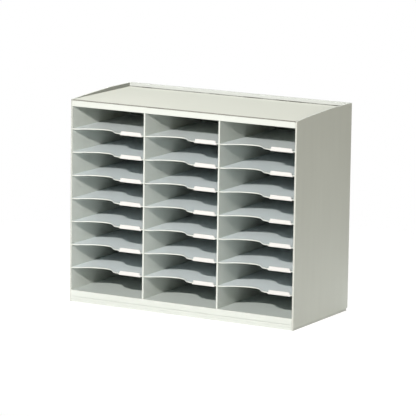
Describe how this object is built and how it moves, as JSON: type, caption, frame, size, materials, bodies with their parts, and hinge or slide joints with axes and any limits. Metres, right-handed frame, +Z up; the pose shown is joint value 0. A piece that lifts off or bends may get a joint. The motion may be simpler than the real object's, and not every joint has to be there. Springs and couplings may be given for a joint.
{
  "type": "pigeonhole mail sorter",
  "caption": "Freestanding moulded plastic pigeonhole sorter with columns of sliding shelves, thumb cut-outs and label holders for A4 mail.",
  "frame": {"origin": "on the floor, midway across the width and the depth", "axes": "+Z up, +X to the right seen from the front, the open front faces -Y"},
  "size_m": [0.674, 0.308, 0.5535],
  "materials": {
    "carcass_plastic": "fine satin moulded polystyrene, warm light grey",
    "sheet_plastic": "smooth matt sheet, warm light grey",
    "back_plastic": "matt sheet with fine extrusion lines",
    "shelf_plastic": "satin moulded shelf, cool light grey",
    "holder_plastic": "glossy white clip",
    "screw_steel": "zinc-plated pan heads"
  },
  "bodies": {
    "carcass": {"left_side_panel": "carcass_plastic", "right_side_panel": "carcass_plastic", "top_sheet": "sheet_plastic", "front_top_rail": "carcass_plastic", "rear_top_rail": "carcass_plastic", "bottom_panel": "carcass_plastic", "front_plinth": "carcass_plastic", "rear_plinth": "carcass_plastic", "back_panel": "back_plastic", "back_panel_screws": "screw_steel", "divider_left": "carcass_plastic", "divider_right": "carcass_plastic"},
    "sliding_shelf_left_1": {"shelf_left_1": "shelf_plastic", "label_holder_left_1": "holder_plastic"},
    "sliding_shelf_left_2": {"shelf_left_2": "shelf_plastic", "label_holder_left_2": "holder_plastic"},
    "sliding_shelf_left_3": {"shelf_left_3": "shelf_plastic", "label_holder_left_3": "holder_plastic"},
    "sliding_shelf_left_4": {"shelf_left_4": "shelf_plastic", "label_holder_left_4": "holder_plastic"},
    "sliding_shelf_left_5": {"shelf_left_5": "shelf_plastic", "label_holder_left_5": "holder_plastic"},
    "sliding_shelf_left_6": {"shelf_left_6": "shelf_plastic", "label_holder_left_6": "holder_plastic"},
    "sliding_shelf_left_7": {"shelf_left_7": "shelf_plastic", "label_holder_left_7": "holder_plastic"},
    "sliding_shelf_middle_1": {"shelf_middle_1": "shelf_plastic", "label_holder_middle_1": "holder_plastic"},
    "sliding_shelf_middle_2": {"shelf_middle_2": "shelf_plastic", "label_holder_middle_2": "holder_plastic"},
    "sliding_shelf_middle_3": {"shelf_middle_3": "shelf_plastic", "label_holder_middle_3": "holder_plastic"},
    "sliding_shelf_middle_4": {"shelf_middle_4": "shelf_plastic", "label_holder_middle_4": "holder_plastic"},
    "sliding_shelf_middle_5": {"shelf_middle_5": "shelf_plastic", "label_holder_middle_5": "holder_plastic"},
    "sliding_shelf_middle_6": {"shelf_middle_6": "shelf_plastic", "label_holder_middle_6": "holder_plastic"},
    "sliding_shelf_middle_7": {"shelf_middle_7": "shelf_plastic", "label_holder_middle_7": "holder_plastic"},
    "sliding_shelf_right_1": {"shelf_right_1": "shelf_plastic", "label_holder_right_1": "holder_plastic"},
    "sliding_shelf_right_2": {"shelf_right_2": "shelf_plastic", "label_holder_right_2": "holder_plastic"},
    "sliding_shelf_right_3": {"shelf_right_3": "shelf_plastic", "label_holder_right_3": "holder_plastic"},
    "sliding_shelf_right_4": {"shelf_right_4": "shelf_plastic", "label_holder_right_4": "holder_plastic"},
    "sliding_shelf_right_5": {"shelf_right_5": "shelf_plastic", "label_holder_right_5": "holder_plastic"},
    "sliding_shelf_right_6": {"shelf_right_6": "shelf_plastic", "label_holder_right_6": "holder_plastic"},
    "sliding_shelf_right_7": {"shelf_right_7": "shelf_plastic", "label_holder_right_7": "holder_plastic"}
  },
  "joints": [
    {"name": "slide_left_1", "type": "slide", "parent": "carcass", "child": "sliding_shelf_left_1", "axis": [0, -1, 0], "range_m": [0, 0.28]},
    {"name": "slide_left_2", "type": "slide", "parent": "carcass", "child": "sliding_shelf_left_2", "axis": [0, -1, 0], "range_m": [0, 0.28]},
    {"name": "slide_left_3", "type": "slide", "parent": "carcass", "child": "sliding_shelf_left_3", "axis": [0, -1, 0], "range_m": [0, 0.28]},
    {"name": "slide_left_4", "type": "slide", "parent": "carcass", "child": "sliding_shelf_left_4", "axis": [0, -1, 0], "range_m": [0, 0.28]},
    {"name": "slide_left_5", "type": "slide", "parent": "carcass", "child": "sliding_shelf_left_5", "axis": [0, -1, 0], "range_m": [0, 0.28]},
    {"name": "slide_left_6", "type": "slide", "parent": "carcass", "child": "sliding_shelf_left_6", "axis": [0, -1, 0], "range_m": [0, 0.28]},
    {"name": "slide_left_7", "type": "slide", "parent": "carcass", "child": "sliding_shelf_left_7", "axis": [0, -1, 0], "range_m": [0, 0.28]},
    {"name": "slide_middle_1", "type": "slide", "parent": "carcass", "child": "sliding_shelf_middle_1", "axis": [0, -1, 0], "range_m": [0, 0.28]},
    {"name": "slide_middle_2", "type": "slide", "parent": "carcass", "child": "sliding_shelf_middle_2", "axis": [0, -1, 0], "range_m": [0, 0.28]},
    {"name": "slide_middle_3", "type": "slide", "parent": "carcass", "child": "sliding_shelf_middle_3", "axis": [0, -1, 0], "range_m": [0, 0.28]},
    {"name": "slide_middle_4", "type": "slide", "parent": "carcass", "child": "sliding_shelf_middle_4", "axis": [0, -1, 0], "range_m": [0, 0.28]},
    {"name": "slide_middle_5", "type": "slide", "parent": "carcass", "child": "sliding_shelf_middle_5", "axis": [0, -1, 0], "range_m": [0, 0.28]},
    {"name": "slide_middle_6", "type": "slide", "parent": "carcass", "child": "sliding_shelf_middle_6", "axis": [0, -1, 0], "range_m": [0, 0.28]},
    {"name": "slide_middle_7", "type": "slide", "parent": "carcass", "child": "sliding_shelf_middle_7", "axis": [0, -1, 0], "range_m": [0, 0.28]},
    {"name": "slide_right_1", "type": "slide", "parent": "carcass", "child": "sliding_shelf_right_1", "axis": [0, -1, 0], "range_m": [0, 0.28]},
    {"name": "slide_right_2", "type": "slide", "parent": "carcass", "child": "sliding_shelf_right_2", "axis": [0, -1, 0], "range_m": [0, 0.28]},
    {"name": "slide_right_3", "type": "slide", "parent": "carcass", "child": "sliding_shelf_right_3", "axis": [0, -1, 0], "range_m": [0, 0.28]},
    {"name": "slide_right_4", "type": "slide", "parent": "carcass", "child": "sliding_shelf_right_4", "axis": [0, -1, 0], "range_m": [0, 0.28]},
    {"name": "slide_right_5", "type": "slide", "parent": "carcass", "child": "sliding_shelf_right_5", "axis": [0, -1, 0], "range_m": [0, 0.28]},
    {"name": "slide_right_6", "type": "slide", "parent": "carcass", "child": "sliding_shelf_right_6", "axis": [0, -1, 0], "range_m": [0, 0.28]},
    {"name": "slide_right_7", "type": "slide", "parent": "carcass", "child": "sliding_shelf_right_7", "axis": [0, -1, 0], "range_m": [0, 0.28]}
  ]
}
